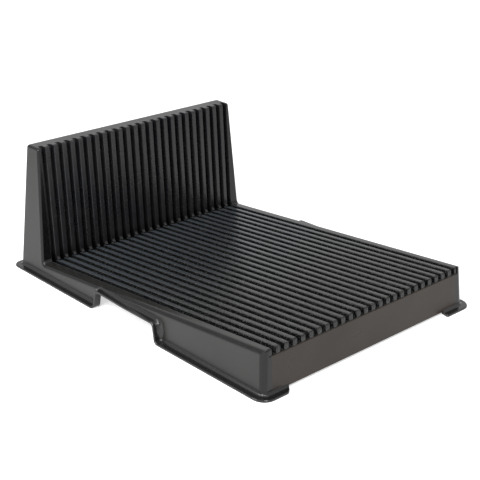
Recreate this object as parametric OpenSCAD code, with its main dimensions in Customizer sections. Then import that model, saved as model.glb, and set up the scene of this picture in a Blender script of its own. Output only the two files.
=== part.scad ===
// Upright rack for circuit boards: one formed plastic sheet with a slotted deck that
// slopes down to a slotted wall, square to it, so that each board stands on two edges.
// The sheet is drawn region by region. Every region is a closed solid that meets its
// neighbours face to face, and the rack is hollow and open underneath.
//
// +X runs across the slots, +Y from the open front to the wall, +Z is up.
// The origin is the middle of the footprint, flanges included, on the table.

/* [Slots] */
// Number of slots
slot_count = 25; // [8:1:32]
// Distance from one slot to the next
slot_pitch = 10; // [9.5:0.5:16]
// Width of a slot at its mouth
slot_w = 5; // [4.7:0.1:6]
// Depth of a slot
slot_depth = 6.5; // [4:0.25:9]
// Draft of the slot walls, in degrees
slot_draft = 2.2; // [0:0.2:2.6]
// Rounding of the rib edges beside each slot
rib_round = 0.9; // [0.3:0.1:1.1]
// Rounding at the bottom of each slot
slot_floor_round = 0.6; // [0.2:0.1:0.9]
// Width of the two outermost ribs, measured at the top of the wall
end_rib_w = 3.7; // [2.4:0.1:20]

/* [Body] */
// Depth of the body at the table, front to back
body_d = 355; // [260:5:440]
// Height of the wall
wall_h = 130; // [90:5:220]
// Height of the rib tops at the front
front_h = 42; // [34:1:70]
// Height of the rib tops at the inner corner, where deck and wall meet
inner_h = 13.2; // [12:0.2:24]
// Thickness of the wall at its top, front to back
wall_top_d = 20; // [14:0.5:40]

/* [Draft angles] */
// Lean of the two sides
side_draft = 3.8; // [1:0.2:6]
// Lean of the front
front_draft = 5.8; // [1:0.2:9]
// Lean of the back
rear_draft = 2.9; // [1:0.2:6]

/* [Sheet] */
// Thickness of the drawn sheet
sheet_t = 1.6; // [1:0.1:2.1]
// Thickness of the flange at the table, where the sheet is not drawn
flange_t = 2.2; // [1.6:0.1:3.4]
// Width of the flange
flange_w = 7; // [4:0.5:14]
// Fillet where the flange meets a side
flange_root_r = 2.5; // [0.5:0.1:3]
// Rounding of the flange's outer edge
flange_edge_r = 0.5; // [0.2:0.1:0.7]

/* [Edges] */
// Rounding of the deck's side edges
deck_edge_r = 4; // [2.4:0.2:7]
// Rounding of the two upright front corners
front_corner_r = 5.5; // [3:0.5:8]
// Rounding of the wall's upright edges, as far as the outermost rib allows
wall_edge_r = 2.4; // [1.8:0.1:6]
// Rounding of the wall's top edges, front and back
wall_top_r = 3; // [1.8:0.1:5]
// Rounding of the inner corner between deck and wall
inner_r = 4; // [1:0.5:8]
// Rounding of the upper front edge of each rib
rib_end_r = 1.8; // [0.5:0.1:3]
// Distance that the rib ends stand back from the front face
rib_setback = 0.8; // [0.3:0.1:1.2]

/* [Hand recess] */
// Clear length of each side recess at its top
recess_l = 86; // [50:1:110]
// Flat side left between the top of the recess and the rounding of the deck's edge
recess_top_gap = 0.4; // [0.3:0.1:4]
// Place of the recess along the body, from the middle towards the wall
recess_y = 3; // [-40:1:40]
// Lean of the front end of the recess, in degrees
recess_front_lean = 15; // [0:1:20]
// Lean of the rear end of the recess, in degrees
recess_rear_lean = 4; // [0:1:20]
// Radius of the upper corners of the recess
recess_r = 3; // [1.5:0.5:5]
// Inner radius of the bend where the flange turns up into the recess
bend_inner_r = 0.5; // [0.3:0.1:1.5]
// Fillet between a side and the ends of the recess
recess_end_r = 5; // [2:0.5:6]
// How much narrower the flange is at the rear end of the recess
recess_rear_trim = 1.6; // [0:0.2:3]

/* [Front trim] */
// Length of the flange left at each front corner, along the front
foot_l = 30; // [16:1:60]
// Rounding of the outer corner of each foot, as far as the flange allows
foot_corner_r = 2.5; // [0.5:0.5:4]
// Height of the trimmed edge between the two front feet
front_trim_h = 2.8; // [1.5:0.1:10]
// How far the end of the left foot is cut back at its outer edge
left_foot_cut = 6; // [0:0.5:7]
// How far the end of the right foot is cut back at its outer edge
right_foot_cut = -2; // [-3:0.5:7]

/* [Hidden] */

arc_steps = 5;      // facets of a large rounding
small_steps = 3;    // facets of a small rounding
lip_steps = 9;      // parts of the straight top of the recess
lip_margin = 1;     // least height from the top of the lip's fillet up to the deck
over = 5;           // how far a cutting shape runs past what it cuts
end_lead = 1.2;     // flat of the outermost rib between its slot and the seam
ledge_flat = 0.15;  // flat of the ledge between its rounding and the rib ends
corner_lead = 1;    // straight flange that goes with each front corner
seam_gap = 0.1;     // least width of the flat between the seam and a rounding
min_r = 0.3;        // least radius left where a rounding is offset away

deck_black = [0.13, 0.13, 0.14];
panel_black = [0.20, 0.20, 0.20];
flange_black = [0.16, 0.16, 0.16];

// Slots, and the seam beside the outermost slots where the side panels begin
slot_span = (slot_count - 1) * slot_pitch;
seam_x = (slot_span + slot_w) / 2 + end_lead;
floor_depth = slot_depth + sheet_t;
mouth_half = slot_w / 2;
floor_half = mouth_half - slot_depth * tan(slot_draft);

// The sides lean in from the table to the top of the wall
top_half_w = (slot_span + slot_w) / 2 + end_rib_w;
base_half_w = top_half_w + wall_h * tan(side_draft);
// The leaning sides stand this much off the table, so that their inner faces just reach it
side_lift = sheet_t * sin(side_draft);
wall_r = min(wall_edge_r, end_rib_w - end_lead - seam_gap);

// Front and back of the body, in the plane across x: points are [y, z]
front_top = [-body_d / 2 + front_h * tan(front_draft), front_h];
wall_front_top = [body_d / 2 - wall_h * tan(rear_draft) - wall_top_d, wall_h];

// Slope of the deck. The wall leans back by the same angle and so stays square to it.
run = wall_front_top.x - front_top.x;
rise = wall_front_top.y - front_top.y;
drop = front_h - inner_h;
tilt = (asin((drop + rise / 2) / (norm([run, rise]) / 2)) - atan2(rise, run)) / 2;
along_deck = [cos(tilt), -sin(tilt)];
up_wall = [sin(tilt), cos(tilt)];
deck_l = (wall_front_top - front_top) * along_deck;
wall_l = (wall_front_top - front_top) * up_wall;
corner_in = front_top + deck_l * along_deck;

// The five faces in order, front, deck, wall, top and back: [outward normal, distance]
function face(point, direction) =
  let (normal = [-direction.y, direction.x]) [normal, normal * point];
FACES = [
  face([-body_d / 2, 0], [sin(front_draft), cos(front_draft)]),
  face(front_top, along_deck),
  face(corner_in, up_wall),
  face(wall_front_top, [1, 0]),
  face([body_d / 2, 0], [sin(rear_draft), -cos(rear_draft)])
];
TABLE = [[0, -1], 0];

// Where two faces meet, each moved inwards by its own offset
function meet(a, b, off_a = 0, off_b = 0) =
  let (na = a[0], nb = b[0], ca = a[1] - off_a, cb = b[1] - off_b,
       det = na.x * nb.y - na.y * nb.x)
  [(ca * nb.y - cb * na.y) / det, (na.x * cb - nb.x * ca) / det];

function arc(centre, r, from, to, steps = arc_steps) =
  [for (i = [0:steps])
    let (a = from + (to - from) * i / steps) centre + r * [cos(a), sin(a)]];

function angle_of(normal) = atan2(normal.y, normal.x);

// Rounded outer corner between two offset faces, going from a to b
function round_edge(a, b, r, off_a = 0, off_b = 0, steps = arc_steps) =
  arc(meet(a, b, off_a + r, off_b + r), r, angle_of(a[0]), angle_of(b[0]), steps);

// The same for an edge whose rounding shrinks as its faces move inwards
function round_out(a, b, r, off_a = 0, off_b = 0) =
  round_edge(a, b, max(r - max(off_a, off_b), min_r), off_a, off_b);

// Rounded inner corner between two faces, going from a to b
function round_in(a, b, r, off_a = 0, off_b = 0) =
  let (rho = r + (off_a + off_b) / 2)
  arc(meet(a, b, off_a - rho, off_b - rho), rho,
      angle_of(a[0]) + 180, angle_of(b[0]) + 180);

// Side view of the body: [y, z, edge radius], with the front, the deck and the wall offset
function side_view(front, low, high) =
  let (brow = round_out(FACES[0], FACES[1], rib_end_r, front, low),
       inner = round_in(FACES[1], FACES[2], inner_r, low, high))
  concat(
    [for (p = [meet(TABLE, FACES[0], side_lift, front)]) [p.x, p.y, front_corner_r]],
    [for (i = [0:arc_steps])
      [brow[i].x, brow[i].y, front_corner_r + (deck_edge_r - front_corner_r) * i / arc_steps]],
    [for (i = [0:arc_steps])
      [inner[i].x, inner[i].y, deck_edge_r + (wall_r - deck_edge_r) * i / arc_steps]],
    [for (p = round_out(FACES[2], FACES[3], wall_top_r, high, high)) [p.x, p.y, wall_r]],
    [for (p = round_out(FACES[3], FACES[4], wall_top_r, high, high)) [p.x, p.y, wall_r]],
    [for (p = [meet(FACES[4], TABLE, high, side_lift)]) [p.x, p.y, wall_r]]
  );

// Rounded upper front edge of a rib, on its set-back face
rib_end = round_edge(FACES[0], FACES[1], rib_end_r, rib_setback, 0, small_steps);

// Rounded ledge at the top of the front face, back to the foot of the rib ends
ledge = concat(
  round_edge(FACES[0], FACES[1], rib_setback - ledge_flat, 0, slot_depth, small_steps),
  [meet(FACES[0], FACES[1], rib_setback, slot_depth)]
);

function half_w(z) = base_half_w - z * tan(side_draft);
function deck_z(y) = front_top.y - (y - front_top.x) * tan(tilt);
function front_y(z) = -body_d / 2 + z * tan(front_draft);
function rear_y(z) = body_d / 2 - z * tan(rear_draft);

module across_x(from, to)
  translate([from, 0, 0])
    rotate([90, 0, 90])
      linear_extrude(to - from)
        children();

// Puts local y along the deck and local z up the wall, from their inner corner
module at_inner_corner()
  translate([0, corner_in.x, corner_in.y])
    rotate([-tilt, 0, 0])
      children();

function from_corner(along, up) = corner_in + along * along_deck + up * up_wall;

// ---- Ribs and slots ----

function slot_x(i) = -slot_span / 2 + i * slot_pitch;

rib_half = slot_pitch / 2 - mouth_half;       // half a rib at its top
rib_base_half = slot_pitch / 2 - floor_half;  // half a rib at the slot floors

// Reach of a rounding between the top and a drafted side, as a share of its radius
side_turn = tan((90 - slot_draft) / 2);

// Right side of a rib in section, from its top down to the underside of the slot floor
function rib_side() =
  concat(
    arc([rib_half - rib_round * side_turn, -rib_round], rib_round,
        90, slot_draft, small_steps),
    [[rib_base_half, -slot_depth], [rib_base_half, -floor_depth]]
  );

function mirrored(points) =
  [for (i = [len(points) - 1:-1:0]) [-points[i].x, points[i].y]];

module rib_sections() {
  for (i = [0:slot_count - 2])
    translate([slot_x(i) + slot_pitch / 2, 0])
      polygon(concat(mirrored(rib_side()), rib_side()));
  // Inner sides of the two outermost ribs, out to the seam
  for (side = [-1, 1])
    scale([side, 1])
      polygon(concat(
        [[-seam_x, -floor_depth], [-seam_x, 0]],
        [for (p = rib_side()) p + [slot_x(0) - slot_pitch / 2, 0]]
      ));
}

// Hollow inside each rib between two slots, open underneath
module rib_hollows() {
  deep = floor_depth + over;
  function hollow_half(depth) =
    rib_half + depth * tan(slot_draft) - sheet_t / cos(slot_draft);
  for (i = [0:slot_count - 2])
    translate([slot_x(i) + slot_pitch / 2, 0])
      polygon([
        [-hollow_half(sheet_t), -sheet_t], [hollow_half(sheet_t), -sheet_t],
        [hollow_half(deep), -deep], [-hollow_half(deep), -deep]
      ]);
}

// Floor of each slot, with its small fillets up the sides of the ribs
module floor_sections() {
  half = concat(
    [[floor_half, -floor_depth], [floor_half, -slot_depth]],
    arc([floor_half - slot_floor_round * side_turn, slot_floor_round - slot_depth],
        slot_floor_round, -slot_draft, -90, small_steps)
  );
  for (i = [0:slot_count - 1])
    translate([slot_x(i), 0])
      polygon(concat(half, mirrored(half)));
}

// Sections run along the deck, from the inner corner to the given length
module along_the_deck(length)
  at_inner_corner()
    translate([0, floor_depth + over, 0])
      rotate([90, 0, 0])
        linear_extrude(length + floor_depth + over)
          children();

// The same up the wall, where the depth of the section points into the wall
module up_the_wall(length)
  at_inner_corner()
    translate([0, 0, -floor_depth - over])
      mirror([0, 1, 0])
        linear_extrude(length + floor_depth + over)
          children();

// What bounds the deck: the set-back rib ends and the mitre at the inner corner
module deck_bounds()
  across_x(-seam_x, seam_x)
    polygon(concat(
      [meet(FACES[0], FACES[1], rib_setback, floor_depth + over)],
      rib_end,
      [rib_end[small_steps] + over * up_wall,
       from_corner(-over, over),
       from_corner(floor_depth + over, -floor_depth - over)]
    ));

// What bounds the wall: the mitre at the inner corner and the rounded top
module wall_bounds() {
  top_front = round_out(FACES[2], FACES[3], wall_top_r);
  across_x(-seam_x, seam_x)
    polygon(concat(
      [from_corner(-over, over), top_front[0] - over * along_deck],
      top_front,
      [meet(FACES[2], FACES[3], floor_depth + over, 0),
       from_corner(floor_depth + over, -floor_depth - over)]
    ));
}

rib_l = (corner_in - meet(FACES[0], FACES[1], rib_setback, 0)) * along_deck;
wall_reach = wall_l + floor_depth;

module deck_ribs()
  color(deck_black)
    difference() {
      intersection() {
        along_the_deck(rib_l + over) rib_sections();
        deck_bounds();
      }
      along_the_deck(rib_l - sheet_t) rib_hollows();
    }

module deck_slot_floors()
  color(deck_black)
    intersection() {
      along_the_deck(rib_l + over) floor_sections();
      deck_bounds();
    }

module wall_ribs()
  color(deck_black) {
    difference() {
      intersection() {
        up_the_wall(wall_reach) rib_sections();
        wall_bounds();
      }
      up_the_wall(wall_l - sheet_t) rib_hollows();
    }
    inner_corner_rounds();
  }

module wall_slot_floors()
  color(deck_black)
    intersection() {
      up_the_wall(wall_reach) floor_sections();
      wall_bounds();
    }

// Rounding of the inner corner, on the flat top of each rib
module inner_corner_rounds() {
  flat = 2 * (rib_half - rib_round);
  end_flat = end_lead - rib_round;
  module web(from, to)
    at_inner_corner()
      across_x(from, to)
        polygon(concat([[0, 0]], arc([-inner_r, inner_r], inner_r, 270, 360)));
  for (i = [0:slot_count - 2])
    web(slot_x(i) + (slot_pitch - flat) / 2, slot_x(i) + (slot_pitch + flat) / 2);
  web(seam_x - end_flat, seam_x);
  web(-seam_x, -seam_x + end_flat);
}

// Flat top of the wall, behind the slots
module wall_top()
  color(panel_black)
    across_x(-seam_x, seam_x)
      polygon([
        meet(FACES[2], FACES[3], floor_depth, 0),
        round_out(FACES[3], FACES[4], wall_top_r)[0],
        round_out(FACES[3], FACES[4], wall_top_r, sheet_t, sheet_t)[0],
        meet(FACES[2], FACES[3], floor_depth, sheet_t)
      ]);

module rear_panel()
  color(panel_black)
    across_x(-seam_x, seam_x) {
      inner = round_out(FACES[3], FACES[4], wall_top_r, sheet_t, sheet_t);
      polygon(concat(
        round_out(FACES[3], FACES[4], wall_top_r),
        [meet(FACES[4], TABLE), meet(FACES[4], TABLE, sheet_t, 0)],
        [for (i = [arc_steps:-1:0]) inner[i]]
      ));
    }

module front_skirt()
  color(panel_black)
    difference() {
      across_x(-seam_x, seam_x)
        polygon(concat(
          [meet(FACES[0], TABLE)],
          ledge,
          [meet(FACES[0], FACES[1], rib_setback, floor_depth),
           meet(FACES[0], FACES[1], sheet_t, floor_depth),
           meet(FACES[0], TABLE, sheet_t, 0)]
        ));
      across_x(-foot_end_x, foot_end_x)
        translate([-body_d / 2 - over, -over])
          square([2 * over + sheet_t, over + front_trim_h]);
    }

foot_end_x = base_half_w - foot_l;

// ---- Side panels ----

// The side lies in a plane of its own, leaning in by the draft
side_normal = [cos(side_draft), 0, sin(side_draft)];

// One ring of the rounded edge: the side view moved in by the rounding at this angle
function edge_ring(angle, skin) =
  let (moved = [for (r = [front_corner_r, deck_edge_r, wall_r])
         skin + (r - skin) * (1 - cos(angle))])
  [for (p = side_view(moved[0], moved[1], moved[2]))
    [half_w(p.y) - p.z + (p.z - skin) * sin(angle), p.x, p.y]];

// The ring at the seam, where the edge meets the middle of the rack
function seam_ring(skin) = [for (p = side_view(skin, skin, skin)) [seam_x, p.x, p.y]];

// Rounded edge of the right side, a closed strip from the front over the wall to the back
module right_edge_strip() {
  outer = [for (k = [0:arc_steps]) edge_ring(90 * k / arc_steps, 0)];
  inner_rim = [for (p = outer[arc_steps]) p - sheet_t * side_normal];
  inner = [for (k = [small_steps - 1:-1:0]) edge_ring(90 * k / small_steps, sheet_t)];
  rings = concat([seam_ring(0)], outer, [inner_rim], inner, [seam_ring(sheet_t)]);
  n = len(outer[0]);
  last = len(rings) - 1;
  polyhedron(
    points = [for (ring = rings) each ring],
    faces = concat(
      [for (r = [0:last]) let (a = r * n, b = (r + 1) % (last + 1) * n)
        for (i = [0:n - 2])
          each [[a + i, a + i + 1, b + i + 1], [a + i, b + i + 1, b + i]]],
      [[for (r = [0:last]) r * n]],
      [[for (r = [last:-1:0]) r * n + n - 1]]
    ),
    convexity = 6
  );
}

// The ledge below the rib ends runs on to the upright corner
module right_edge_solid()
  difference() {
    right_edge_strip();
    across_x(seam_x - over, half_w(front_h) - front_corner_r)
      polygon(concat(
        ledge, rib_end,
        [rib_end[small_steps] + over * up_wall,
         front_top + over * (up_wall - along_deck),
         ledge[0] - [over, 0]]
      ));
  }

// Flat side with the hand recess cut out, in the plane that leans in by the draft
module right_panel_solid() {
  rim = edge_ring(90, 0);
  path = [for (station = recess_path()) station[1]];
  function flat(points) = [for (p = points) [p.x, p.y / cos(side_draft)]];
  translate([base_half_w, 0, 0])
    rotate([0, -side_draft, 0])
      across_x(-sheet_t, 0)
        difference() {
          polygon(flat([for (p = rim) [p.y, p.z]]));
          polygon(flat(concat(
            path, [path[len(path) - 1] - [0, over], path[0] - [0, over]])));
        }
}

module right_edge() color(panel_black) right_edge_solid();
module left_edge() color(panel_black) mirror([1, 0, 0]) right_edge_solid();
module right_side_panel() color(panel_black) right_panel_solid();
module left_side_panel() color(panel_black) mirror([1, 0, 0]) right_panel_solid();

// ---- Flange ----

// The flange in section: [distance out from the body, height above its underside]
function flange_section(root = flange_root_r, width = flange_w) =
  concat(
    [[0, 0], [width - flange_edge_r, 0], [width, flange_edge_r],
     [width, flange_t - flange_edge_r], [width - flange_edge_r, flange_t]],
    arc([root, flange_t + root], root, 270, 180, small_steps)
  );

// The same with points down its inner side, which follows the rounded deck edge
function lip_section(root, width) =
  concat(
    flange_section(root, width),
    [for (i = [small_steps:-1:1]) [0, (flange_t + root) * i / (small_steps + 1)]]
  );

// Triangles that close the end of such a section
SECTION_CAP = let (root = 5, top = root + small_steps)
  concat(
    [for (i = [1:root - 1]) [0, i, i + 1]],
    [[0, root, top + small_steps]],
    [for (k = [1:small_steps])
      let (side = top + small_steps + 1 - k)
      each concat([[side, root + k - 1, root + k]],
                  k < small_steps ? [[side, root + k, side - 1]] : [])]
  );

// Stations along the flange of the right side, from the front foot to the back. Each is
// [kind, place, direction, root fillet, width]; on a side, place and direction are [y, z].
FRONT = 0;
FRONT_CORNER = 1;
SIDE = 2;
REAR_CORNER = 3;
REAR = 4;

// How far the rounded edge of the deck draws back from the flat side at a place
function edge_inset(y, z) =
  let (h = min(max((z - deck_z(y)) * cos(tilt) + deck_edge_r, 0), deck_edge_r))
  deck_edge_r - sqrt(deck_edge_r * deck_edge_r - h * h);

function flange_point(station, out, up) =
  let (kind = station[0], a = station[1],
       corner_out = front_corner_r + out, wall_out = wall_r + out)
  kind == FRONT ? [a + station[2] * out / flange_w, front_y(up) - out / cos(front_draft), up] :
  kind == FRONT_CORNER ?
    [half_w(up) - front_corner_r + corner_out * sin(a),
     front_y(up) + (front_corner_r - corner_out * cos(a)) / cos(front_draft), up] :
  kind == SIDE ?
    let (y = a.x + up * station[2].x, z = a.y + up * station[2].y,
         near = max(1 - out / station[3], 0))
    [half_w(z) + out - near * edge_inset(y, z), y, z] :
  kind == REAR_CORNER ?
    [half_w(up) - wall_r + wall_out * cos(a),
     rear_y(up) - (wall_r - wall_out * sin(a)) / cos(rear_draft), up] :
  [a, rear_y(up) + out / cos(rear_draft), up];

// A bend of the flange in the plane of the side, turning about a centre, while its
// root fillet and width go from the first value to the second
function bend(centre, r, from, to, root, width) =
  [for (i = [0:arc_steps])
    let (a = from + (to - from) * i / arc_steps, n = [-sin(a), cos(a)])
    [SIDE, centre + r * n, n, blend(root, i / arc_steps), blend(width, i / arc_steps)]];

function blend(pair, share) = pair[0] + (pair[1] - pair[0]) * share;

// Stations between two others on the same straight wall
function straight(a, b, shares) =
  [for (share = shares)
    [SIDE, blend([a[1], b[1]], share), a[2],
     blend([a[3], b[3]], min(2 * share, 1)), blend([a[4], b[4]], share)]];

bend_r = flange_t + flange_root_r + bend_inner_r;
recess_rear_y = recess_y + recess_l / 2 - recess_r;
recess_front_y = recess_y - recess_l / 2 + recess_r;
recess_h = deck_z(recess_rear_y) - deck_edge_r / cos(tilt) - recess_top_gap;

// Fillet over the lip, as far as the deck above it allows
function lip_root(y) = min(flange_root_r, deck_z(y) - lip_margin - recess_h - flange_t);

// Up at the front of the recess, over its top, and down at the back
function recess_path() =
  let (rise_a = 90 - recess_front_lean, fall_a = 90 - recess_rear_lean,
       climb = recess_h - recess_r - bend_r,
       front_foot_y = recess_front_y - (bend_r + recess_r + climb * cos(rise_a)) / sin(rise_a),
       rear_foot_y = recess_rear_y + (bend_r + recess_r + climb * cos(fall_a)) / sin(fall_a),
       narrow = flange_w - recess_rear_trim, full = [flange_w, flange_w],
       foot_root = [flange_root_r, flange_root_r],
       front_foot = bend([front_foot_y, bend_r], -bend_r, 0, rise_a, foot_root, full),
       front_top = bend([recess_front_y, recess_h - recess_r], recess_r, rise_a, 0,
                        [recess_end_r, lip_root(recess_front_y)], full),
       rear_top = bend([recess_rear_y, recess_h - recess_r], recess_r, 0, -fall_a,
                       [lip_root(recess_rear_y), recess_end_r], [narrow, narrow]),
       rear_foot = bend([rear_foot_y, bend_r], -bend_r, -fall_a, 0, foot_root,
                        [narrow, flange_w]))
  concat(
    front_foot,
    straight(front_foot[arc_steps], front_top[0], [1 / 4, 1 / 2]),
    front_top,
    [for (i = [1:lip_steps - 1])
      let (share = i / lip_steps, y = blend([recess_front_y, recess_rear_y], share))
      [SIDE, [y, recess_h], [0, 1], lip_root(y), blend([flange_w, narrow], max(2 * share - 1, 0))]],
    rear_top,
    straight(rear_foot[0], rear_top[arc_steps], [1 / 2, 1 / 4]),
    rear_foot
  );

// Closed solid through the flange's section at each station
module flange_run(stations) {
  n = len(lip_section(flange_root_r, flange_w));
  last = len(stations) - 1;
  polyhedron(
    points = [for (s = stations) for (p = lip_section(s[3], s[4])) flange_point(s, p.x, p.y)],
    faces = concat(
      [for (r = [0:last - 1]) for (i = [0:n - 1]) let (j = (i + 1) % n)
        each [[r * n + i, r * n + j, (r + 1) * n + j], [r * n + i, (r + 1) * n + j, (r + 1) * n + i]]],
      [for (face = SECTION_CAP) [face[2], face[1], face[0]]],
      [for (face = SECTION_CAP) [for (i = face) last * n + i]]
    ),
    convexity = 4
  );
}

function side_station(y) = [SIDE, [y, 0], [0, 1], flange_root_r, flange_w];
side_front_y =
  front_y(flange_t + flange_root_r) + front_corner_r / cos(front_draft) + corner_lead;

foot_r = min(foot_corner_r, flange_w - flange_root_r - 2 * flange_edge_r);

module foot_run(cut)
  flange_run(concat(
    [for (k = [0:small_steps]) let (a = 90 * k / small_steps)
      [FRONT, foot_end_x + foot_r * (1 - cos(a)), cut,
       flange_root_r, flange_w - foot_r * (1 - sin(a))]],
    [for (k = [0:arc_steps]) [FRONT_CORNER, 90 * k / arc_steps, 0, flange_root_r, flange_w]],
    [side_station(side_front_y)]
  ));

module front_flange_run() {
  rear_end = recess_path()[0][1].x;
  translate([0, rear_end, 0])
    rotate([90, 0, 0])
      linear_extrude(rear_end - side_front_y)
        polygon([for (p = flange_section()) [half_w(p.y) + p.x, p.y]]);
}

module recess_lip_run() flange_run(recess_path());

module rear_flange_run()
  flange_run(concat(
    [side_station(recess_path()[len(recess_path()) - 1][1].x)],
    [for (k = [0:arc_steps]) [REAR_CORNER, 90 * k / arc_steps, 0, flange_root_r, flange_w]],
    [[REAR, seam_x, 0, flange_root_r, flange_w]]
  ));

module left_front_foot() color(flange_black) mirror([1, 0, 0]) foot_run(left_foot_cut);
module right_front_foot() color(flange_black) foot_run(right_foot_cut);
module left_front_flange() color(flange_black) mirror([1, 0, 0]) front_flange_run();
module right_front_flange() color(flange_black) front_flange_run();
module left_recess_lip() color(flange_black) mirror([1, 0, 0]) recess_lip_run();
module right_recess_lip() color(flange_black) recess_lip_run();
module left_rear_flange() color(flange_black) mirror([1, 0, 0]) rear_flange_run();
module right_rear_flange() color(flange_black) rear_flange_run();

module rear_flange()
  color(flange_black)
    across_x(-seam_x, seam_x)
      polygon([for (p = flange_section())
        let (q = flange_point([REAR, 0], p.x, p.y)) [q.y, q.z]]);

deck_ribs();
deck_slot_floors();
wall_ribs();
wall_slot_floors();
wall_top();
rear_panel();
front_skirt();
left_side_panel();
right_side_panel();
left_edge();
right_edge();
left_front_foot();
right_front_foot();
left_front_flange();
right_front_flange();
left_recess_lip();
right_recess_lip();
left_rear_flange();
right_rear_flange();
rear_flange();
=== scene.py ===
import bpy, math
from mathutils import Vector, Matrix
from mathutils.bvhtree import BVHTree
from mathutils.kdtree import KDTree


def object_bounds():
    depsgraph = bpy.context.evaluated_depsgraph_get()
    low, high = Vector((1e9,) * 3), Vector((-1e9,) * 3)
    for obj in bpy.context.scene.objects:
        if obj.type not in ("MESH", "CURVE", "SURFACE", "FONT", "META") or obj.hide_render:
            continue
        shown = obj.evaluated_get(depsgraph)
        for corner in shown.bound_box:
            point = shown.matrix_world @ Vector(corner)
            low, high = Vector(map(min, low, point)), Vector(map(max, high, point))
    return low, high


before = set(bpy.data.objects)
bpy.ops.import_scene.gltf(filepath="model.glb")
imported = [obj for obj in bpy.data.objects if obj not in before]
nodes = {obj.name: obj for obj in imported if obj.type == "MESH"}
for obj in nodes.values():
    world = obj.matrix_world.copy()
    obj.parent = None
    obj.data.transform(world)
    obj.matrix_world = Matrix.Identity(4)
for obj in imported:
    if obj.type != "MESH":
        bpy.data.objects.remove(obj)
cadLow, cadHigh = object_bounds()
scene = bpy.context.scene
mm = 0.001
print("rack frame loaded,", len(nodes), "regions")


def rgb(hexCode):  # a written colour in Blender's linear values
    channels = [int(hexCode[i:i + 2], 16) / 255 for i in (0, 2, 4)]
    linear = [c / 12.92 if c <= 0.04045 else ((c + 0.055) / 1.055) ** 2.4 for c in channels]
    return (*linear, 1.0)


def addNode(tree, kind, **values):
    node = tree.nodes.new(kind)
    for key, value in values.items():
        setattr(node, key, value)
    return node


def noiseAt(tree, scale, detail, rough=0.55, stretch=(1, 1, 1)):
    geometry = addNode(tree, "ShaderNodeNewGeometry")
    mapping = addNode(tree, "ShaderNodeMapping")
    mapping.inputs["Scale"].default_value = stretch
    noise = addNode(tree, "ShaderNodeTexNoise")
    noise.inputs["Scale"].default_value = scale
    noise.inputs["Detail"].default_value = detail
    noise.inputs["Roughness"].default_value = rough
    tree.links.new(geometry.outputs["Position"], mapping.inputs["Vector"])
    tree.links.new(mapping.outputs["Vector"], noise.inputs["Vector"])
    return noise.outputs["Fac"]


def rangeOf(tree, source, low, high, fromLow=0.3, fromHigh=0.7):
    node = addNode(tree, "ShaderNodeMapRange")
    node.inputs["From Min"].default_value = fromLow
    node.inputs["From Max"].default_value = fromHigh
    node.inputs["To Min"].default_value = low
    node.inputs["To Max"].default_value = high
    tree.links.new(source, node.inputs["Value"])
    return node.outputs["Result"]


def mixColours(tree, factor, a, b):
    mix = addNode(tree, "ShaderNodeMix", data_type="RGBA")
    for socket, value in (("A", a), ("B", b)):
        slot = [s for s in mix.inputs if s.name == socket and s.type == "RGBA"][0]
        if isinstance(value, tuple):
            slot.default_value = value
        else:
            tree.links.new(value, slot)
    tree.links.new(factor, mix.inputs[0])
    return [s for s in mix.outputs if s.type == "RGBA"][0]


def bumpOf(tree, height, strength, distance, under=None):
    bump = addNode(tree, "ShaderNodeBump")
    bump.inputs["Strength"].default_value = strength
    bump.inputs["Distance"].default_value = distance
    tree.links.new(height, bump.inputs["Height"])
    if under is not None:
        tree.links.new(under, bump.inputs["Normal"])
    return bump.outputs["Normal"]


def surfaceParts(tree, field):  # X, Y and Z of the surface's Position or Normal
    geometry = addNode(tree, "ShaderNodeNewGeometry")
    parts = addNode(tree, "ShaderNodeSeparateXYZ")
    tree.links.new(geometry.outputs[field], parts.inputs[0])
    return parts.outputs


# What all regions of the formed sheet share.
sheet = {"cloudDetail": 4, "glintScale": 900, "glintLevels": (0.56, 0.68),
         "smearScale": 30, "smearDetail": 5, "smearRough": 0.6, "smearStretch": (1, 0.35, 1),
         "waveScale": 22, "waveRough": 0.4, "waveDepth": 0.4 * mm, "bumpDetail": 2}


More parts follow.
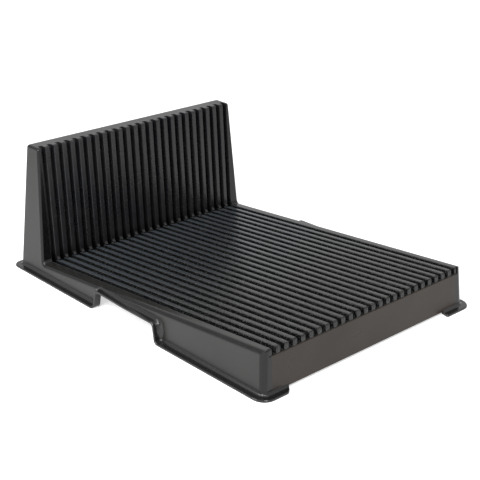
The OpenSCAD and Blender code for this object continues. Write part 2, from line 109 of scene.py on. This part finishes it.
def plastic(name, look):
    material = bpy.data.materials.new(name)
    material.use_nodes = True
    tree = material.node_tree
    shader = tree.nodes["Principled BSDF"]

    clouds = rangeOf(tree, noiseAt(tree, look["cloudScale"], sheet["cloudDetail"]), 0, 1)
    colour = mixColours(tree, clouds, rgb(look["dark"]), rgb(look["light"]))
    if "far" in look:  # painted reflection of the wall: bluer towards the wall
        place = surfaceParts(tree, "Position")
        wallReflectionMask = rangeOf(tree, place["Y"], 0, 1, *look["farReach"])
        colour = mixColours(tree, wallReflectionMask, colour, rgb(look["far"]))
    if "foot" in look:  # painted shade: dark at the bottom of the wall, where it meets the deck
        place = surfaceParts(tree, "Position")
        aboveFootShade = rangeOf(tree, place["Z"], 0, 1, *look["footShadeHeights"])
        colour = mixColours(tree, aboveFootShade, rgb(look["foot"]), colour)
    if "deep" in look:  # painted shade: dark on all that doesn't face up
        normal = surfaceParts(tree, "Normal")
        facingUp = rangeOf(tree, normal["Z"], 0, 1, *look["facingUp"])
        colour = mixColours(tree, facingUp, rgb(look["deep"]), colour)
    # painted glints: fine light specks that stand in for the sparkle off the grain
    glintNoise = noiseAt(tree, sheet["glintScale"], 1, 0.5)
    paintedGlints = rangeOf(tree, glintNoise, 0, look["paintedGlints"], *sheet["glintLevels"])
    colour = mixColours(tree, paintedGlints, colour, rgb(look["glintColour"]))
    tree.links.new(colour, shader.inputs["Base Color"])

    smears = noiseAt(tree, sheet["smearScale"], sheet["smearDetail"], sheet["smearRough"],
                     sheet["smearStretch"])
    tree.links.new(rangeOf(tree, smears, *look["rough"]), shader.inputs["Roughness"])
    shader.inputs["IOR"].default_value = look["ior"]

    waveNoise = noiseAt(tree, sheet["waveScale"], sheet["bumpDetail"], sheet["waveRough"])
    waves = bumpOf(tree, waveNoise, look["waviness"], sheet["waveDepth"])
    grainNoise = noiseAt(tree, look["grainScale"], sheet["bumpDetail"], 0.5)
    grain = bumpOf(tree, grainNoise, look["grain"], look["grainDepth"] * mm, waves)
    tree.links.new(grain, shader.inputs["Normal"])
    return material


deckLook = {"dark": "121211", "light": "1e1e1d", "cloudScale": 14, "rough": (0.22, 0.34), "ior": 1.39,
            # painted bluish reflection of the wall on the deck
            "far": "3b4147", "farReach": (0.6 * cadLow.y, 0.8 * cadHigh.y),
            # painted shade on the rib ends and slot walls
            "deep": "0b0c0d", "facingUp": (0.35, 0.95),
            "paintedGlints": 0.6, "glintColour": "52514f",
            "waviness": 0.15, "grain": 1.0, "grainScale": 520, "grainDepth": 0.22}
deckPlastic = plastic("deckPlastic", deckLook)

wallLook = {"dark": "121317", "light": "1d1c1d", "cloudScale": 22, "rough": (0.22, 0.34), "ior": 1.42,
            # painted shade at the foot of the wall
            "foot": "040405", "footShadeHeights": (15 * mm, 24 * mm),
            "paintedGlints": 0.3, "glintColour": "3c3b3a",
            "waviness": 0.15, "grain": 1.0, "grainScale": 520, "grainDepth": 0.15}
wallPlastic = plastic("wallPlastic", wallLook)

edgeLook = {"dark": "1b1b1a", "light": "282726", "cloudScale": 14, "rough": (0.16, 0.24), "ior": 1.38,
            # painted shade on the edge's fillets and sides
            "deep": "060606", "facingUp": (0.9, 0.98),
            "paintedGlints": 0.1, "glintColour": "4a4947",
            "waviness": 0.3, "grain": 0.4, "grainScale": 700, "grainDepth": 0.02}
edgePlastic = plastic("edgePlastic", edgeLook)

panelLook = {"dark": "1c1c1b", "light": "262625", "cloudScale": 14, "rough": (0.26, 0.36), "ior": 1.39,
             "paintedGlints": 0, "glintColour": "4a4947",
             "waviness": 0.25, "grain": 0.5, "grainScale": 900, "grainDepth": 0.012}
panelPlastic = plastic("panelPlastic", panelLook)

frontLook = {"dark": "241d17", "light": "30271f", "cloudScale": 14, "rough": (0.26, 0.36), "ior": 1.34,
             "paintedGlints": 0.06, "glintColour": "4a4947",
             "waviness": 0.4, "grain": 0.5, "grainScale": 900, "grainDepth": 0.012}
frontPlastic = plastic("frontPlastic", frontLook)

flangeLook = {"dark": "0f0f0f", "light": "181818", "cloudScale": 14, "rough": (0.14, 0.24), "ior": 1.45,
              "paintedGlints": 0.3, "glintColour": "3c3b3a",
              "waviness": 0.4, "grain": 0.5, "grainScale": 700, "grainDepth": 0.04}
flangePlastic = plastic("flangePlastic", flangeLook)

plasticOf = {"deck_ribs": deckPlastic, "deck_slot_floors": deckPlastic,
             "wall_ribs": wallPlastic, "wall_slot_floors": wallPlastic, "front_skirt": frontPlastic}
for name, node in nodes.items():
    if name.endswith("_edge"):
        plasticOf[name] = edgePlastic
    elif name.endswith(("flange", "foot", "lip")):
        plasticOf[name] = flangePlastic
    node.data.materials.clear()
    node.data.materials.append(plasticOf.get(name, panelPlastic))  # sides, wall top and back
print("plastics on", len(nodes), "regions")


def geometryTree(name):
    tree = bpy.data.node_groups.new(name, "GeometryNodeTree")
    for way in ("INPUT", "OUTPUT"):
        tree.interface.new_socket("Geometry", in_out=way, socket_type="NodeSocketGeometry")
    entry = addNode(tree, "NodeGroupInput", location=(-900, 0))
    return tree, entry, addNode(tree, "NodeGroupOutput", location=(900, 0))


def partsOf(tree, kind):  # X, Y and Z of what an input node gives
    parts = addNode(tree, "ShaderNodeSeparateXYZ")
    tree.links.new(addNode(tree, kind).outputs[0], parts.inputs[0])
    return parts.outputs


def compare(tree, value, operation, limit):
    node = addNode(tree, "FunctionNodeCompare", data_type="FLOAT", operation=operation)
    tree.links.new(value, node.inputs[0])
    node.inputs[1].default_value = limit
    return node.outputs[0]


def combine(tree, a, b, operation="AND"):
    node = addNode(tree, "FunctionNodeBooleanMath", operation=operation)
    tree.links.new(a, node.inputs[0])
    tree.links.new(b, node.inputs[1])
    return node.outputs[0]


def asNumber(tree, flag):  # 1 where the flag holds, else 0
    number = addNode(tree, "GeometryNodeSwitch", input_type="FLOAT")
    number.inputs["False"].default_value = 0
    number.inputs["True"].default_value = 1
    tree.links.new(flag, number.inputs["Switch"])
    return number.outputs[0]


def besideFace(tree, flag):  # edges with such a face on one side or both, as they read 0.5 or 1
    onFaces = addNode(tree, "GeometryNodeFieldOnDomain", data_type="FLOAT", domain="FACE")
    tree.links.new(asNumber(tree, flag), onFaces.inputs[0])
    return compare(tree, onFaces.outputs[0], "GREATER_THAN", 0.4)


# The upright edges at the front end of each deck rib are softly rounded, as formed sheet is.
ribEnds = {"radius": 0.9 * mm, "segments": 3, "reach": 16 * mm, "sideFace": 0.9, "outerFace": 0.5,
           "corner": 0.9, "crease": math.radians(40), "weld": 0.002 * mm,
           "flat": math.radians(1), "flatWeight": 90}


def ribEdgeMarker():
    tree, entry, result = geometryTree("markRibEdges")
    smoothFaces = addNode(tree, "GeometryNodeSetShadeSmooth", domain="FACE")
    smoothEdges = addNode(tree, "GeometryNodeSetShadeSmooth", domain="EDGE")
    normal = partsOf(tree, "GeometryNodeInputNormal")
    side, outer = ribEnds["sideFace"], ribEnds["outerFace"]
    sideFaces = combine(tree, compare(tree, normal["X"], "GREATER_THAN", side),
                        compare(tree, normal["X"], "LESS_THAN", -side), "OR")
    outerFaces = combine(tree, compare(tree, normal["Z"], "GREATER_THAN", outer),
                         compare(tree, normal["Y"], "LESS_THAN", -outer), "OR")
    between = combine(tree, besideFace(tree, sideFaces), besideFace(tree, outerFaces))
    angle = addNode(tree, "GeometryNodeInputMeshEdgeAngle")
    corner = compare(tree, angle.outputs["Signed Angle"], "GREATER_THAN", ribEnds["corner"])
    place = partsOf(tree, "GeometryNodeInputPosition")
    atFront = compare(tree, place["Y"], "LESS_THAN", cadLow.y + ribEnds["reach"])
    chosen = combine(tree, combine(tree, corner, between), atFront)
    store = addNode(tree, "GeometryNodeStoreNamedAttribute", data_type="FLOAT", domain="EDGE")
    store.inputs["Name"].default_value = "bevel_weight_edge"
    tree.links.new(asNumber(tree, chosen), store.inputs["Value"])
    chain = (entry, smoothFaces, smoothEdges, store, result)
    for before, after in zip(chain, chain[1:]):
        tree.links.new(before.outputs[0], after.inputs[0])
    return tree


def creaseMarker():
    tree, entry, result = geometryTree("creaseByAngle")
    angle = addNode(tree, "GeometryNodeInputMeshEdgeAngle")
    crease = addNode(tree, "GeometryNodeSetShadeSmooth", domain="EDGE")
    crease.inputs["Shade Smooth"].default_value = False
    sharp = compare(tree, angle.outputs["Unsigned Angle"], "GREATER_THAN", ribEnds["crease"])
    tree.links.new(sharp, crease.inputs["Selection"])
    tree.links.new(entry.outputs[0], crease.inputs[0])
    tree.links.new(crease.outputs[0], result.inputs[0])
    return tree


ribs = nodes["deck_ribs"]
ribs.modifiers.new("weld", "WELD").merge_threshold = ribEnds["weld"]
plain = ribs.modifiers.new("plainFaces", "DECIMATE")
plain.decimate_type = "DISSOLVE"
plain.angle_limit = ribEnds["flat"]
ribs.modifiers.new("ribEnds", "NODES").node_group = ribEdgeMarker()
rounding = ribs.modifiers.new("ribRounding", "BEVEL")
rounding.limit_method = "WEIGHT"
rounding.width = ribEnds["radius"]
rounding.segments = ribEnds["segments"]
rounding.use_clamp_overlap = False
ribs.modifiers.new("creases", "NODES").node_group = creaseMarker()
flats = ribs.modifiers.new("flatFaces", "WEIGHTED_NORMAL")
flats.mode = "FACE_AREA"
flats.weight = ribEnds["flatWeight"]
flats.keep_sharp = True
print("rib ends rounded")

# The regions are cut from one sheet, so the shading runs on over their seams.
shading = {"crease": 34, "touch": 0.03 * mm, "against": 0.05 * mm, "opposed": -0.95,
           "normalSteps": 500, "planeStep": 0.05 * mm, "planeWeight": 1.5, "faceWeight": 0.1}


def seamFaces(meshes):  # the faces where two regions meet, which nobody sees
    trees = {name: BVHTree.FromPolygons([v.co for v in mesh.vertices],
                                        [tuple(p.vertices) for p in mesh.polygons])
             for name, mesh in meshes.items()}
    hidden = {name: set() for name in meshes}
    for name, mesh in meshes.items():
        for face in mesh.polygons:
            for other, tree in trees.items():
                if other == name:
                    continue
                place, normal, index, distance = tree.find_nearest(face.center, shading["against"])
                if place is not None and normal.dot(face.normal) < shading["opposed"]:
                    hidden[name].add(face.index)
                    break
    return hidden


def planeAreas(mesh):  # for each face, the area of all the faces in its plane
    areas, keys = {}, []
    for face in mesh.polygons:
        offset = face.normal.dot(face.center)
        facing = [round(v * shading["normalSteps"]) for v in face.normal]
        key = (*facing, round(offset / shading["planeStep"]))
        keys.append(key)
        areas[key] = areas.get(key, 0) + face.area
    return [areas[key] for key in keys]


def softNormals(meshes):
    hidden = seamFaces(meshes)
    sharpest = math.cos(math.radians(shading["crease"]))
    around = KDTree(sum(len(mesh.loops) for mesh in meshes.values()))
    faceFacts = []
    for name, mesh in meshes.items():
        areas = planeAreas(mesh)
        for face in mesh.polygons:
            if face.index in hidden[name]:
                continue
            weight = areas[face.index] ** shading["planeWeight"] * face.area ** shading["faceWeight"]
            for corner in face.vertices:
                around.insert(mesh.vertices[corner].co, len(faceFacts))
                faceFacts.append((face.normal.copy(), weight))
    around.balance()
    soft = {name: [None] * len(mesh.loops) for name, mesh in meshes.items()}
    for name, mesh in meshes.items():
        for face in mesh.polygons:
            for loop in face.loop_indices:
                point = mesh.vertices[mesh.loops[loop].vertex_index].co
                total = Vector((0, 0, 0))
                if face.index not in hidden[name]:
                    for co, index, distance in around.find_range(point, shading["touch"]):
                        normal, weight = faceFacts[index]
                        if normal.dot(face.normal) > sharpest:
                            total += normal * weight
                soft[name][loop] = total.normalized() if total.length > 0 else face.normal.copy()
    return soft


normals = softNormals({name: node.data for name, node in nodes.items()})
for name, node in nodes.items():
    if name == "deck_ribs":  # its own modifiers shade it
        continue
    twinMesh = node.data.copy()
    twinMesh.name = name + "_shading"
    twinMesh.normals_split_custom_set(normals[name])
    twin = bpy.data.objects.new(name + "_shading", twinMesh)
    scene.collection.objects.link(twin)
    twin.hide_render = True
    twin.hide_viewport = True
    transfer = node.modifiers.new("shading", "DATA_TRANSFER")
    transfer.object = twin
    transfer.use_loop_data = True
    transfer.data_types_loops = {"CUSTOM_NORMAL"}
    transfer.loop_mapping = "TOPOLOGY"
print("shading runs over the seams")

middle = (cadLow + cadHigh) / 2
span = (cadHigh - cadLow).length
studio = {"lightStrength": 0.4, "seenStrength": 1.0, "floorColour": (0.9, 0.9, 0.9, 1),
          "floorRough": 0.9, "floorLift": 0.6, "floorReach": 12 * span, "floorGap": 0.05 * mm}


def seenRays(tree):  # 1 for rays that see the background: straight, mirrored or through glass
    path = addNode(tree, "ShaderNodeLightPath")
    seen = path.outputs["Is Camera Ray"]
    for kind in ("Is Glossy Ray", "Is Transmission Ray"):
        either = addNode(tree, "ShaderNodeMath", operation="MAXIMUM")
        tree.links.new(seen, either.inputs[0])
        tree.links.new(path.outputs[kind], either.inputs[1])
        seen = either.outputs[0]
    return seen


reach = studio["floorReach"]
floorMesh = bpy.data.meshes.new("studioFloor")
floorCorners = [(-reach, -reach, 0), (reach, -reach, 0), (reach, reach, 0), (-reach, reach, 0)]
floorMesh.from_pydata(floorCorners, [], [(0, 1, 2, 3)])
floor = bpy.data.objects.new("studioFloor", floorMesh)
floor.location.z = cadLow.z - studio["floorGap"]
scene.collection.objects.link(floor)
floorPaint = bpy.data.materials.new("studioFloor")
floorPaint.use_nodes = True
floorMesh.materials.append(floorPaint)
paper = floorPaint.node_tree
matt = paper.nodes["Principled BSDF"]
matt.inputs["Base Color"].default_value = studio["floorColour"]
matt.inputs["Roughness"].default_value = studio["floorRough"]
matt.inputs["Emission Color"].default_value = (1, 1, 1, 1)
lift = rangeOf(paper, seenRays(paper), 0, studio["floorLift"], 0, 1)
paper.links.new(lift, matt.inputs["Emission Strength"])

world = bpy.data.worlds.new("studio")
scene.world = world
world.use_nodes = True
dome = world.node_tree
background = dome.nodes["Background"]
background.inputs["Color"].default_value = (1, 1, 1, 1)
glow = rangeOf(dome, seenRays(dome), studio["lightStrength"], studio["seenStrength"], 0, 1)
dome.links.new(glow, background.inputs["Strength"])


def outwards(azimuth, elevation):  # azimuth 0 is in front of the rack, -90 on its left
    a, e = math.radians(azimuth), math.radians(elevation)
    return Vector((math.sin(a) * math.cos(e), -math.cos(a) * math.cos(e), math.sin(e)))


softboxes = {"topSoftbox": {"azimuth": 20, "elevation": 78, "distance": 1.5, "size": 1.2, "power": 3},
             "frontGleam": {"azimuth": -20, "elevation": 50, "distance": 1.3, "size": 0.3, "power": 3.5},
             "leftSoftbox": {"azimuth": -66, "elevation": 36, "distance": 1.4, "size": 0.7, "power": 13},
             "rearLeftSoftbox": {"azimuth": -102, "elevation": 34, "distance": 0.8, "size": 0.4,
                                 "power": 2.5}}
for name, box in softboxes.items():
    lamp = bpy.data.lights.new(name, "AREA")
    lamp.shape = "SQUARE"
    lamp.size = box["size"]
    lamp.energy = box["power"]
    away = outwards(box["azimuth"], box["elevation"])
    holder = bpy.data.objects.new(name, lamp)
    holder.location = middle + away * box["distance"]
    holder.rotation_euler = (-away).to_track_quat("-Z", "Y").to_euler()
    scene.collection.objects.link(holder)

viewing = {"azimuth": -43.81, "elevation": 23.04, "roll": 1.42, "lens": 86.98, "sensor": 36,
           "aim": Vector((16.1, 12.45, -25)) * mm, "distance": 1160.7 * mm}
turn, roll = math.radians(viewing["azimuth"]), math.radians(viewing["roll"])
back = outwards(viewing["azimuth"], viewing["elevation"])
right = Vector((math.cos(turn), math.sin(turn), 0))
up = back.cross(right)
rolledRight = right * math.cos(roll) + up * math.sin(roll)
rolledUp = up * math.cos(roll) - right * math.sin(roll)
turned = Matrix((rolledRight, rolledUp, back)).transposed().to_4x4()
cameraData = bpy.data.cameras.new("camera")
cameraData.lens = viewing["lens"]
cameraData.sensor_width = viewing["sensor"]
camera = bpy.data.objects.new("camera", cameraData)
place = middle + viewing["aim"] + back * viewing["distance"]
camera.matrix_world = Matrix.Translation(place) @ turned
scene.collection.objects.link(camera)
scene.camera = camera
scene.view_settings.view_transform = "Standard"
print("studio ready")
